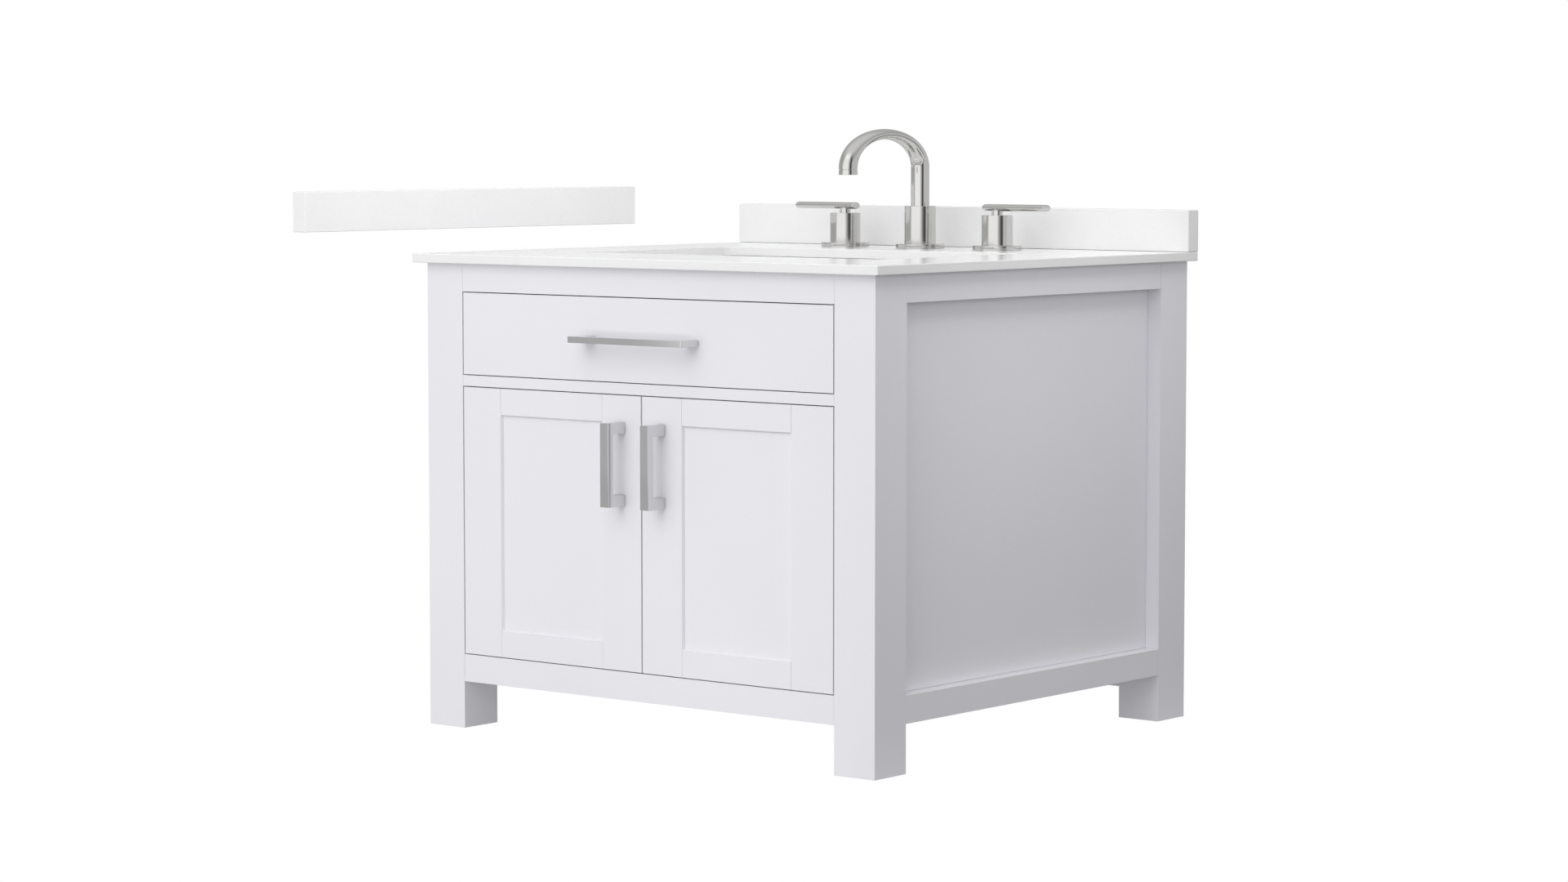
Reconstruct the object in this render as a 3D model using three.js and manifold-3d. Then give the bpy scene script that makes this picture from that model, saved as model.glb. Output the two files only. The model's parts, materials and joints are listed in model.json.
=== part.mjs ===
// Bathroom vanity: a framed cabinet with two doors and a drawer, a stone top over an undermount
// basin, a three-hole faucet, a backsplash, and one loose side splash held off to the left.
//
// Millimetres, +Z up, front towards -Y. The origin is on the floor under the middle of the cabinet.

import * as THREE from 'three';
import { mergeVertices } from 'three/addons/utils/BufferGeometryUtils.js';
import Module from 'manifold-3d';

const wasm = await Module();
wasm.setup();

// ---- Driving dimensions ----------------------------------------------------------------------

const WIDTH = 914.4; // across the two side frames
const DEPTH = 838; // front face to back face
const CARCASS_TOP = 752.6; // underside of the stone top
const LEG = 77; // square corner posts, full height
const SEAM = 0.3; // air left where two pieces meet
// Visible gaps round the doors and the drawer front: upright ones, level ones, and between the doors.
const REVEAL = { side: 2.3, level: 1.5, centre: 2.8 };
const RAIL_THICK = 20;

const RAIL_UNDER = 76; // underside of the front and side rails
const DOOR_SILL = 120.5;
const DOOR_HEAD = 555.5;
const DRAWER_SILL = 573;
const DRAWER_HEAD = 707.3;

const SIDE = { sill: 119.3, head: 708.9, recess: 25, panelThick: 12, railThick: 36 };
const BACK = { bottomUnder: 42, bottomTop: 120, topUnder: 660 };
const FLOOR = { top: 118, thick: 15 };

const DOOR = { thick: 19, stile: 80, rail: 42, panelSetback: 5, panelThick: 9 };
const DRAWER = { frontThick: 18, boardThick: 12, bottom: 580, top: 640, back: 50, baseThick: 6 };
const NOTCH = { halfWidth: 60, front: -80 }; // plumbing cut-out in the back of the drawer box
const RUNNER = { length: 457, centre: 610, front: -396, pack: 12.7 };
const HINGE = { levels: [190, 486], height: 18 };

const PULL = { reach: 42, barThick: 13 };
const DOOR_PULL = { x: 41, width: 16, low: 381.5, high: 513, foot: 18 };
const DRAWER_PULL = { halfLength: 116.5, foot: 22, centre: 640.3, height: 10 };

const TOP = { thick: 14.8, side: 17.5, front: 18.1, back: 5.8 };
const CUTOUT = { halfX: 308, halfY: 191, y: -20, corner: 22 };
const BASIN = { lip: 25, reveal: 5, wall: 8, floor: 656 };
const DRAIN = { hole: 23, pipe: 16, bore: 13, low: 565 };
const SPLASH = { thick: 29.2, height: 68.3 };
const SIDE_SPLASH = { thick: 28, height: 67.4, x: -720.2, z: 797.1 };

const FAUCET = { y: 299, spread: 160, deckHole: 17.5, shank: 14, shankLow: 700 };
const ROSE = { radius: 41.2, thick: 7.5 }; // round flange under each faucet body
const SPOUT = { radius: 15.65, reach: 197.3, bodyRadius: 26.6, bodyHeight: 71.4, apex: 200.9, outlet: 125 };
const HANDLE = { bodyRadius: 26, bodyHeight: 58, stem: 9.4, rodLow: 64.4, inboard: 25, outboard: 102 };
const PLAN_SPREAD = 1.77; // faucet tubes are this much wider in plan than they are thick upright

// ---- Derived levels --------------------------------------------------------------------------

const HALF = WIDTH / 2;
const FRONT = -DEPTH / 2;
const REAR = DEPTH / 2;
const BAY = HALF - LEG; // half the clear width between the posts
const DECK = CARCASS_TOP + TOP.thick; // upper face of the stone top
const SIDES = [['left', -1], ['right', 1]];

// ---- Materials -------------------------------------------------------------------------------

const finish = (color, roughness, metalness) =>
  new THREE.MeshStandardMaterial({ color, roughness, metalness });
const PAINT = finish(0xe6e5ec, 0.45, 0);
const STONE = finish(0xf6f6f7, 0.25, 0);
const CERAMIC = finish(0xf4f4f4, 0.08, 0);
const BIRCH = finish(0xd9bf94, 0.55, 0);
const SATIN_NICKEL = finish(0xb4b2ae, 0.35, 1);
const BRIGHT_NICKEL = finish(0xc3c1bd, 0.16, 1);
const ZINC = finish(0xa9acb0, 0.4, 1);

// ---- Geometry helpers ------------------------------------------------------------------------

const vanity = new THREE.Group();

function add(name, geometry, material, x = 0, y = 0, z = 0) {
  const mesh = new THREE.Mesh(geometry, material);
  mesh.name = name;
  mesh.position.set(x, y, z);
  vanity.add(mesh);
}

// A plain board given by its limits along X, Y and Z.
function board(name, material, [x0, x1], [y0, y1], [z0, z1]) {
  const geometry = new THREE.BoxGeometry(Math.abs(x1 - x0), y1 - y0, z1 - z0);
  add(name, geometry, material, (x0 + x1) / 2, (y0 + y1) / 2, (z0 + z1) / 2);
}

function outline(points) {
  return new THREE.Shape(points.map(([u, v]) => new THREE.Vector2(u, v)));
}

// An outline drawn in plan (x, y) and raised from z0 to z1.
function raised(shape, z0, z1) {
  const curve = { depth: z1 - z0, bevelEnabled: false, curveSegments: 8 };
  return new THREE.ExtrudeGeometry(shape, curve).translate(0, 0, z0);
}

// An outline drawn in (y, z) and run along X from x0 to x1.
function alongX(points, x0, x1) {
  const geometry = new THREE.ExtrudeGeometry(outline(points), { depth: x1 - x0, bevelEnabled: false });
  geometry.applyMatrix4(new THREE.Matrix4().set(0, 0, 1, x0, 1, 0, 0, 0, 0, 1, 0, 0, 0, 0, 0, 1));
  return geometry;
}

// An outline drawn in (x, z) and run along Y from y0 to y1.
function alongY(points, y0, y1) {
  const geometry = new THREE.ExtrudeGeometry(outline(points), { depth: y1 - y0, bevelEnabled: false });
  return geometry.rotateX(Math.PI / 2).translate(0, y1, 0);
}

// A profile of [radius, height] pairs turned about +Z.
function turned(profile, sides = 40) {
  const points = profile.map(([r, z]) => new THREE.Vector2(r, z));
  return new THREE.LatheGeometry(points, sides).rotateX(Math.PI / 2);
}

function solid(geometry) {
  const bare = geometry.clone();
  bare.deleteAttribute('normal');
  bare.deleteAttribute('uv');
  const merged = mergeVertices(bare, 1e-4);
  const mesh = { numProp: 3, vertProperties: merged.attributes.position.array, triVerts: merged.index.array };
  return new wasm.Manifold(new wasm.Mesh(mesh));
}

function meshed(body) {
  const { vertProperties, triVerts } = body.getMesh();
  const geometry = new THREE.BufferGeometry();
  geometry.setAttribute('position', new THREE.BufferAttribute(vertProperties, 3));
  geometry.setIndex(new THREE.BufferAttribute(triVerts, 1));
  geometry.computeVertexNormals();
  return geometry;
}

// The corners of a rectangle as [sign of x, sign of y, quarter turn where its arc starts].
const CORNERS = [[1, 1, 0], [-1, 1, 1], [-1, -1, 2], [1, -1, 3]];

function roundedRect(halfX, halfY, radius, cy) {
  const path = new THREE.Path();
  for (const [sx, sy, quarter] of CORNERS) {
    const start = (quarter * Math.PI) / 2;
    path.absarc(sx * (halfX - radius), cy + sy * (halfY - radius), radius, start, start + Math.PI / 2, false);
  }
  return path;
}

function circle(radius, cx, cy) {
  return new THREE.Path().absarc(cx, cy, radius, 0, 2 * Math.PI, false);
}

// ---- Cabinet frame ---------------------------------------------------------------------------

function legs() {
  const rows = [['front', FRONT, FRONT + LEG], ['rear', REAR - LEG, REAR]];
  for (const [row, y0, y1] of rows) {
    for (const [side, s] of SIDES) {
      board(`leg_${row}_${side}`, PAINT, [s * BAY, s * HALF], [y0, y1], [0, CARCASS_TOP - SEAM]);
    }
  }
}

function frontRails() {
  const span = [-BAY + SEAM, BAY - SEAM];
  const thickness = [FRONT, FRONT + RAIL_THICK];
  board('front_top_rail', PAINT, span, thickness, [DRAWER_HEAD, CARCASS_TOP - SEAM]);
  board('front_mid_rail', PAINT, span, thickness, [DOOR_HEAD, DRAWER_SILL]);
  board('front_bottom_rail', PAINT, span, thickness, [RAIL_UNDER, DOOR_SILL]);
}

function sideFrames() {
  const run = [FRONT + LEG + SEAM, REAR - LEG - SEAM];
  const face = HALF - SIDE.recess;
  for (const [side, s] of SIDES) {
    const rail = [s * (HALF - SIDE.railThick), s * HALF];
    board(`side_top_rail_${side}`, PAINT, rail, run, [SIDE.head, CARCASS_TOP - SEAM]);
    board(`side_bottom_rail_${side}`, PAINT, rail, run, [RAIL_UNDER, SIDE.sill]);
    board(`side_panel_${side}`, PAINT, [s * (face - SIDE.panelThick), s * face], run,
      [SIDE.sill + SEAM, SIDE.head - SEAM]);
    board(`runner_batten_${side}`, BIRCH, [s * (BAY + SEAM), s * (face - SIDE.panelThick - SEAM)], run,
      [DRAWER.bottom, DRAWER.top]);
  }
}

function backRails() {
  const span = [-BAY + SEAM, BAY - SEAM];
  const thickness = [REAR - RAIL_THICK, REAR];
  board('back_top_rail', PAINT, span, thickness, [BACK.topUnder, CARCASS_TOP - SEAM]);
  board('back_bottom_rail', PAINT, span, thickness, [BACK.bottomUnder, BACK.bottomTop]);
}

// The floor reaches the side panels and is notched round the four posts.
function cabinetFloor() {
  const wide = HALF - SIDE.railThick - SEAM;
  const narrow = BAY - SEAM;
  const inner = REAR - LEG - SEAM;
  const front = FRONT + RAIL_THICK + SEAM;
  const back = REAR - RAIL_THICK - SEAM;
  const points = [
    [-narrow, front], [narrow, front], [narrow, -inner], [wide, -inner], [wide, inner], [narrow, inner],
    [narrow, back], [-narrow, back], [-narrow, inner], [-wide, inner], [-wide, -inner], [-narrow, -inner],
  ];
  add('cabinet_floor', raised(outline(points), FLOOR.top - FLOOR.thick, FLOOR.top), PAINT);
}

// ---- Doors -----------------------------------------------------------------------------------

// A bar on two feet, drawn as a bracket: [along, out] pairs with `out` measured from the face.
function bracketOutline(low, high, foot) {
  const inner = PULL.reach - PULL.barThick;
  return [
    [low, SEAM], [low + foot, SEAM], [low + foot, inner], [high - foot, inner],
    [high - foot, SEAM], [high, SEAM], [high, PULL.reach], [low, PULL.reach],
  ];
}

function doors() {
  const back = FRONT + DOOR.thick;
  const low = DOOR_SILL + REVEAL.level;
  const high = DOOR_HEAD - REVEAL.level;
  const panelFront = FRONT + DOOR.panelSetback;
  for (const [side, s] of SIDES) {
    const meeting = REVEAL.centre / 2;
    const hinge = BAY - REVEAL.side;
    const inside = [meeting + DOOR.stile, hinge - DOOR.stile];
    const clear = [s * (inside[0] + SEAM), s * (inside[1] - SEAM)];
    board(`${side}_door_hinge_stile`, PAINT, [s * inside[1], s * hinge], [FRONT, back], [low, high]);
    board(`${side}_door_meeting_stile`, PAINT, [s * meeting, s * inside[0]], [FRONT, back], [low, high]);
    board(`${side}_door_bottom_rail`, PAINT, clear, [FRONT, back], [low, low + DOOR.rail]);
    board(`${side}_door_top_rail`, PAINT, clear, [FRONT, back], [high - DOOR.rail, high]);
    board(`${side}_door_panel`, PAINT, clear, [panelFront, panelFront + DOOR.panelThick],
      [low + DOOR.rail + SEAM, high - DOOR.rail - SEAM]);

    const bracket = bracketOutline(DOOR_PULL.low, DOOR_PULL.high, DOOR_PULL.foot);
    const points = bracket.map(([z, out]) => [FRONT - out, z]);
    const x0 = s * DOOR_PULL.x - DOOR_PULL.width / 2;
    add(`${side}_door_pull`, alongX(points, x0, x0 + DOOR_PULL.width), SATIN_NICKEL);
  }
}

// Concealed hinge arms, screwed to the posts and cranked towards the backs of the doors.
function hingeArms() {
  const face = BAY - SEAM;
  const mouth = FRONT + DOOR.thick + 4;
  const arm = { long: 55, thick: 8, reach: 28, crank: 5 };
  const points = [
    [face, mouth + arm.long], [face - arm.thick, mouth + arm.long], [face - arm.thick, mouth + arm.thick],
    [face - arm.reach, mouth + arm.crank], [face - arm.reach, mouth], [face, mouth],
  ];
  const names = ['lower', 'upper'];
  for (const [side, s] of SIDES) {
    HINGE.levels.forEach((level, i) => {
      const shape = outline(points.map(([x, y]) => [s * x, y]));
      const geometry = raised(shape, level - HINGE.height / 2, level + HINGE.height / 2);
      add(`${side}_hinge_arm_${names[i]}`, geometry, ZINC);
    });
  }
}

// ---- Drawer ----------------------------------------------------------------------------------

function drawer() {
  const frontBack = FRONT + DRAWER.frontThick;
  const boxFront = frontBack + SEAM;
  const outer = BAY - RUNNER.pack - SEAM;
  const inner = outer - DRAWER.boardThick - SEAM;
  board('drawer_front', PAINT, [-BAY + REVEAL.side, BAY - REVEAL.side], [FRONT, frontBack],
    [DRAWER_SILL + REVEAL.level, DRAWER_HEAD - REVEAL.level]);
  for (const [side, s] of SIDES) {
    board(`drawer_side_${side}`, BIRCH, [s * (outer - DRAWER.boardThick), s * outer],
      [boxFront, DRAWER.back], [DRAWER.bottom, DRAWER.top]);
  }

  const cut = NOTCH.halfWidth;
  const baseTop = DRAWER.bottom + DRAWER.baseThick;
  const base = [
    [-inner, boxFront], [inner, boxFront], [inner, DRAWER.back], [cut, DRAWER.back],
    [cut, NOTCH.front], [-cut, NOTCH.front], [-cut, DRAWER.back], [-inner, DRAWER.back],
  ];
  add('drawer_bottom', raised(outline(base), DRAWER.bottom, baseTop), BIRCH);

  // One folded wall: along the back, round the plumbing notch and on to the other side.
  const t = DRAWER.boardThick;
  const wall = [
    [-inner, DRAWER.back - t], [-cut - t, DRAWER.back - t], [-cut - t, NOTCH.front - t],
    [cut + t, NOTCH.front - t], [cut + t, DRAWER.back - t], [inner, DRAWER.back - t],
    [inner, DRAWER.back], [cut, DRAWER.back], [cut, NOTCH.front], [-cut, NOTCH.front],
    [-cut, DRAWER.back], [-inner, DRAWER.back],
  ];
  add('drawer_back', raised(outline(wall), baseTop + SEAM, DRAWER.top), BIRCH);

  const bracket = bracketOutline(-DRAWER_PULL.halfLength, DRAWER_PULL.halfLength, DRAWER_PULL.foot);
  const shape = outline(bracket.map(([x, out]) => [x, FRONT - out]));
  const z0 = DRAWER_PULL.centre - DRAWER_PULL.height / 2;
  add('drawer_pull', raised(shape, z0, z0 + DRAWER_PULL.height), SATIN_NICKEL);
}

// Three nested channels a side: fixed to the cabinet, floating, and fixed to the drawer.
function runners() {
  const wall = BAY - SEAM; // faces of the posts and battens
  const box = wall - RUNNER.pack + SEAM; // face of the drawer side
  const members = [
    { name: 'outer_runner', web: wall, lip: wall - 10.4, half: 22.5 },
    { name: 'middle_runner', web: wall - 3.7, lip: wall - 9.4, half: 18.5 },
    { name: 'inner_runner', web: box, lip: box + 6.1, half: 14.5 },
  ];
  const thick = 1.2;
  for (const { name, web, lip, half } of members) {
    const step = Math.sign(lip - web) * thick;
    const section = [
      [web, -half], [lip, -half], [lip, -half + thick], [web + step, -half + thick],
      [web + step, half - thick], [lip, half - thick], [lip, half], [web, half],
    ];
    for (const [side, s] of SIDES) {
      const points = section.map(([x, z]) => [s * x, RUNNER.centre + z]);
      add(`${name}_${side}`, alongY(points, RUNNER.front, RUNNER.front + RUNNER.length), ZINC);
    }
  }
}

// ---- Stone top, splashes and basin -----------------------------------------------------------

function countertop() {
  const x = HALF + TOP.side;
  const y0 = FRONT - TOP.front;
  const y1 = REAR + TOP.back;
  const slab = outline([[-x, y0], [x, y0], [x, y1], [-x, y1]]);
  slab.holes.push(roundedRect(CUTOUT.halfX, CUTOUT.halfY, CUTOUT.corner, CUTOUT.y));
  for (const hole of [-FAUCET.spread, 0, FAUCET.spread]) {
    slab.holes.push(circle(FAUCET.deckHole, hole, FAUCET.y));
  }
  add('countertop', raised(slab, CARCASS_TOP, DECK), STONE);
}

function splashes() {
  const x = HALF + TOP.side;
  const rear = REAR + TOP.back;
  const front = FRONT - TOP.front;
  const backsplashFace = rear - SPLASH.thick;
  board('backsplash', STONE, [-x, x], [backsplashFace, rear], [DECK + SEAM, DECK + SEAM + SPLASH.height]);
  board('side_splash', STONE, [SIDE_SPLASH.x - SIDE_SPLASH.thick, SIDE_SPLASH.x],
    [front, backsplashFace - SEAM], [SIDE_SPLASH.z, SIDE_SPLASH.z + SIDE_SPLASH.height]);
}

// Points round a rounded rectangle, anticlockwise from the +X side.
function ringPoints(halfX, halfY, radius, cy, z) {
  const perCorner = 6;
  const points = [];
  for (const [sx, sy, quarter] of CORNERS) {
    for (let step = 0; step <= perCorner; step += 1) {
      const angle = ((quarter + step / perCorner) * Math.PI) / 2;
      const x = sx * (halfX - radius) + radius * Math.cos(angle);
      const y = cy + sy * (halfY - radius) + radius * Math.sin(angle);
      points.push([x, y, z]);
    }
  }
  return points;
}

// One solid through rounded rectangles of [halfX, halfY, corner radius, height], capped at both ends.
function lofted(rings, cy) {
  const rows = rings.map(([halfX, halfY, radius, z]) => ringPoints(halfX, halfY, radius, cy, z));
  const count = rows[0].length;
  const positions = rows.flat(2);
  const triangles = [];
  for (let row = 0; row + 1 < rows.length; row += 1) {
    for (let i = 0; i < count; i += 1) {
      const j = (i + 1) % count;
      const [a, b, c, d] = [row * count + i, row * count + j, (row + 1) * count + j, (row + 1) * count + i];
      triangles.push(a, b, c, a, c, d);
    }
  }
  const last = (rows.length - 1) * count;
  for (let i = 1; i + 1 < count; i += 1) {
    triangles.push(0, i + 1, i, last, last + i, last + i + 1);
  }
  const geometry = new THREE.BufferGeometry();
  geometry.setAttribute('position', new THREE.Float32BufferAttribute(positions, 3));
  geometry.setIndex(triangles);
  return geometry;
}

// Undermount basin: a lip against the underside of the stone, upright walls and a drain hole.
function basin() {
  const rim = CARCASS_TOP - SEAM;
  const under = BASIN.floor - BASIN.wall;
  const ring = (grow, radius, z) => [CUTOUT.halfX + grow, CUTOUT.halfY + grow, radius, z];
  const inside = BASIN.reveal;
  const outside = inside + BASIN.wall;
  const rings = [
    ring(outside, 40, under),
    ring(outside, 40, rim - BASIN.wall),
    ring(outside + BASIN.lip, 55, rim - BASIN.wall),
    ring(outside + BASIN.lip, 55, rim),
    ring(inside, 32, rim),
    ring(inside, 32, BASIN.floor),
  ];
  const bowl = solid(lofted(rings, CUTOUT.y));
  const hole = solid(turned([[0, under - 5], [DRAIN.hole, under - 5], [DRAIN.hole, BASIN.floor + 5],
    [0, BASIN.floor + 5]]).translate(0, CUTOUT.y, 0));
  add('basin', meshed(bowl.subtract(hole)), CERAMIC);
}

function drain() {
  const seat = BASIN.floor + SEAM;
  const body = DRAIN.hole - SEAM;
  const flange = [
    [DRAIN.bore, DRAIN.low], [DRAIN.pipe, DRAIN.low], [DRAIN.pipe, seat - 44], [body, seat - 44],
    [body, seat], [35, seat], [35, seat + 1.5], [32, seat + 3], [25, seat + 3], [DRAIN.bore, seat - 5],
    [DRAIN.bore, DRAIN.low],
  ];
  add('drain_body', turned(flange), BRIGHT_NICKEL, 0, CUTOUT.y, 0);

  const cap = seat + 3 + SEAM;
  const stopper = [
    [0, cap - 24], [5, cap - 24], [5, cap], [29, cap], [29, cap + 2], [24, cap + 4], [0, cap + 5],
  ];
  add('drain_stopper', turned(stopper), BRIGHT_NICKEL, 0, CUTOUT.y, 0);
}

// ---- Faucet ----------------------------------------------------------------------------------

// Threaded shank through the deck, round flange, upright body and a blind bore in its top.
function faucetBody(radius, height, bore, boreDepth) {
  const rose = DECK + SEAM;
  const top = DECK + height;
  return turned([
    [0, FAUCET.shankLow], [FAUCET.shank, FAUCET.shankLow], [FAUCET.shank, rose], [ROSE.radius, rose],
    [ROSE.radius, rose + ROSE.thick - 1], [ROSE.radius - 1, rose + ROSE.thick], [radius, rose + ROSE.thick],
    [radius, top - 1], [radius - 1, top], [bore, top], [bore, top - boreDepth], [0, top - boreDepth],
  ]);
}

function spout() {
  const boreDepth = 30;
  const bore = SPOUT.radius + SEAM;
  add('spout_body', faucetBody(SPOUT.bodyRadius, SPOUT.bodyHeight, bore, boreDepth), BRIGHT_NICKEL,
    0, FAUCET.y, 0);

  // The tube is bent from round bar in its own narrow frame, and then widened in plan.
  const tube = SPOUT.radius / PLAN_SPREAD;
  const bend = SPOUT.reach / PLAN_SPREAD / 2;
  const spring = DECK + SPOUT.apex - tube - bend;
  const foot = DECK + SPOUT.bodyHeight - boreDepth + SEAM;
  const tip = DECK + SPOUT.outlet;
  const path = new THREE.CurvePath();
  path.add(new THREE.LineCurve3(new THREE.Vector3(0, 0, foot), new THREE.Vector3(0, 0, spring)));
  const arch = new (class extends THREE.Curve {
    getPoint(t, target = new THREE.Vector3()) {
      const angle = t * Math.PI;
      return target.set(0, -bend * (1 - Math.cos(angle)), spring + bend * Math.sin(angle));
    }
  })();
  path.add(arch);
  const down = [new THREE.Vector3(0, -2 * bend, spring), new THREE.Vector3(0, -2 * bend, tip)];
  path.add(new THREE.LineCurve3(...down));
  const section = new THREE.Shape().absarc(0, 0, tube, 0, 2 * Math.PI, false);
  const geometry = new THREE.ExtrudeGeometry(section, { steps: 44, extrudePath: path, curveSegments: 12 });
  geometry.scale(PLAN_SPREAD, PLAN_SPREAD, 1);
  add('spout', geometry, BRIGHT_NICKEL, 0, FAUCET.y, 0);
}

function handles() {
  const boreDepth = 24;
  const rodRadius = SPOUT.radius / PLAN_SPREAD * 0.66;
  const rodCentre = DECK + HANDLE.rodLow + rodRadius;
  const names = { left: 'hot', right: 'cold' };
  for (const [side, s] of SIDES) {
    const body = faucetBody(HANDLE.bodyRadius, HANDLE.bodyHeight, HANDLE.stem + SEAM, boreDepth);
    add(`${names[side]}_handle_body`, body, BRIGHT_NICKEL, s * FAUCET.spread, FAUCET.y, 0);

    const foot = DECK + HANDLE.bodyHeight - boreDepth + SEAM;
    const stem = turned([[0, foot], [HANDLE.stem, foot], [HANDLE.stem, rodCentre], [0, rodCentre]], 28);
    const rod = new THREE.CylinderGeometry(rodRadius, rodRadius, HANDLE.inboard + HANDLE.outboard, 28);
    rod.rotateZ(Math.PI / 2).scale(1, PLAN_SPREAD, 1);
    rod.translate((s * (HANDLE.outboard - HANDLE.inboard)) / 2, 0, rodCentre);
    const lever = meshed(solid(stem).add(solid(rod)));
    add(`${names[side]}_lever`, lever, BRIGHT_NICKEL, s * FAUCET.spread, FAUCET.y, 0);
  }
}

legs();
frontRails();
sideFrames();
backRails();
cabinetFloor();
doors();
hingeArms();
drawer();
runners();
countertop();
splashes();
basin();
drain();
spout();
handles();

export default vanity;
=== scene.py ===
"""Looks of the bathroom vanity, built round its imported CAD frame. Metres, +Z up, front towards -Y."""

import json
import math

import bmesh
import bpy
from mathutils import Matrix, Vector


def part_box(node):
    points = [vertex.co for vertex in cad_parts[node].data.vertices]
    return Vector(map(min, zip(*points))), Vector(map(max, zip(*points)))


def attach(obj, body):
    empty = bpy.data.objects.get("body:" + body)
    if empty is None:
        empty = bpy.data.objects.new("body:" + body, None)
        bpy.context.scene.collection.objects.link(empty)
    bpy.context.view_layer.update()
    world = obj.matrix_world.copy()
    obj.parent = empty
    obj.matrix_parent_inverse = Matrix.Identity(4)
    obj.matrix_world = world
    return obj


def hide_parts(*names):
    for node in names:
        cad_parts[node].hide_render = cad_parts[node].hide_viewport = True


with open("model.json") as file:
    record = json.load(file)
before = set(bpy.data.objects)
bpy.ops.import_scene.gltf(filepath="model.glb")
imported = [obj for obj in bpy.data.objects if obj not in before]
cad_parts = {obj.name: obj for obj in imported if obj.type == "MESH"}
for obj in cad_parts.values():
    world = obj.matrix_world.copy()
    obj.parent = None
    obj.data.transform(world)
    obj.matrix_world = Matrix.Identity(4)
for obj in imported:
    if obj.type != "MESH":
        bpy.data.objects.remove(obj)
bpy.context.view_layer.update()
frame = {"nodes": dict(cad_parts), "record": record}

SIDES = (("left", -1), ("right", 1))
SEAM = 0.0003  # air left where two pieces meet
BOARD_EASE = 0.0005  # rounding of a painted board's edges
PLAN_SPREAD = 1.77  # faucet tubes are this much wider in plan than they are thick upright


def add_node(tree, kind, values, links):
    """A shader node with some of its inputs set to values and some linked."""
    node = tree.nodes.new("ShaderNode" + kind)
    for name, value in values.items():
        node.inputs[name].default_value = value
    for name, source in links.items():
        tree.links.new(source, node.inputs[name])
    return node


# ---- Camera, light and floor -----------------------------------------------------------------

WHITE = (1.0, 1.0, 1.0, 1.0)


def camera():
    data = bpy.data.cameras.new("camera")
    data.lens = 90.755
    data.sensor_width = 36.0
    data.clip_end = 60.0
    eye = bpy.data.objects.new("camera", data)
    eye.location = (4.0086, -5.0416, 0.9618)
    pitch, yaw = math.radians(-4.46), math.radians(38.86)
    eye.rotation_euler = (math.pi / 2 + pitch, 0.0, yaw)
    bpy.context.scene.collection.objects.link(eye)
    bpy.context.scene.camera = eye


def soft_light(name, place, target, size, power, spread=180.0):
    """A rectangular lamp that lights surfaces but isn't mirrored in the metal."""
    data = bpy.data.lights.new(name, "AREA")
    data.shape = "RECTANGLE"
    data.size, data.size_y = size
    data.energy = power
    data.spread = math.radians(spread)
    lamp = bpy.data.objects.new(name, data)
    lamp.location = place
    aim = Vector(target) - Vector(place)
    lamp.rotation_euler = aim.to_track_quat("-Z", "Y").to_euler()
    lamp.visible_glossy = False
    lamp.visible_camera = False
    bpy.context.scene.collection.objects.link(lamp)
    return lamp


class Sky:
    """The studio round the object: light walls that differ by compass angle, and a bright ceiling.

    A span is a left edge, its softness, a right edge and its softness, in degrees from +X towards +Y.
    A height is an edge and its softness, as shares of straight up.
    """

    WALLS = 0.54
    RIGHT_BAND = 0.18  # a brighter level band, from beyond the right edge round to the back
    RIGHT_SPAN = (-9.0, 7.0, 150.0, 20.0)
    RIGHT_HEIGHT = (0.3, 0.1)
    WINDOW = 0.70  # the broad front light
    WINDOW_SPAN = (-122.0, 9.0, -48.0, 11.0)
    WINDOW_HEIGHT = (0.86, 0.12)
    CARD = -0.44  # a dark upright card right of the window
    CARD_SPAN = (-33.0, 9.0, -10.0, 6.0)
    CARD_HEIGHT = (0.6, 0.2)
    CEILING = 0.32
    CEILING_HEIGHT = (0.75, 0.25)

    def __init__(self, tree):
        self.tree = tree
        place = tree.nodes.new("ShaderNodeTexCoord")
        split = tree.nodes.new("ShaderNodeSeparateXYZ")
        tree.links.new(place.outputs["Generated"], split.inputs[0])
        angle = self.math("ARCTAN2", split.outputs["Y"], split.outputs["X"])
        self.angle = self.math("MULTIPLY", angle, 180.0 / math.pi)
        self.up = split.outputs["Z"]

    def math(self, kind, first, second):
        node = self.tree.nodes.new("ShaderNodeMath")
        node.operation = kind
        for socket, value in zip(node.inputs, (first, second)):
            if isinstance(value, float):
                socket.default_value = value
            else:
                self.tree.links.new(value, socket)
        return node.outputs[0]

    def step(self, value, edge, soft, falling=False):
        """0 to 1 (or 1 to 0) over a soft edge."""
        first, last = (1.0, 0.0) if falling else (0.0, 1.0)
        ends = {"From Min": edge - soft, "From Max": edge + soft, "To Min": first, "To Max": last}
        node = add_node(self.tree, "MapRange", ends, {"Value": value})
        node.interpolation_type = "SMOOTHSTEP"
        return node.outputs[0]

    def part(self, amount, span, height):
        """An amount of light between two compass angles and below a height, with soft edges."""
        left, left_soft, right, right_soft = span
        rise = self.step(self.angle, left, left_soft)
        fall = self.step(self.angle, right, right_soft, falling=True)
        across = self.math("MULTIPLY", self.math("MULTIPLY", rise, fall), amount)
        return self.math("MULTIPLY", across, self.step(self.up, *height, falling=True))

    def brightness(self):
        edge, soft = self.RIGHT_HEIGHT
        right = self.part(self.RIGHT_BAND, self.RIGHT_SPAN, self.RIGHT_HEIGHT)
        right = self.math("MULTIPLY", right, self.step(self.up, -edge, soft))
        window = self.part(self.WINDOW, self.WINDOW_SPAN, self.WINDOW_HEIGHT)
        card = self.part(self.CARD, self.CARD_SPAN, self.CARD_HEIGHT)
        ceiling = self.math("MULTIPLY", self.step(self.up, *self.CEILING_HEIGHT), self.CEILING)
        total = self.WALLS
        for part in (right, window, card, ceiling):
            total = self.math("ADD", part, total)
        return total


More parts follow.
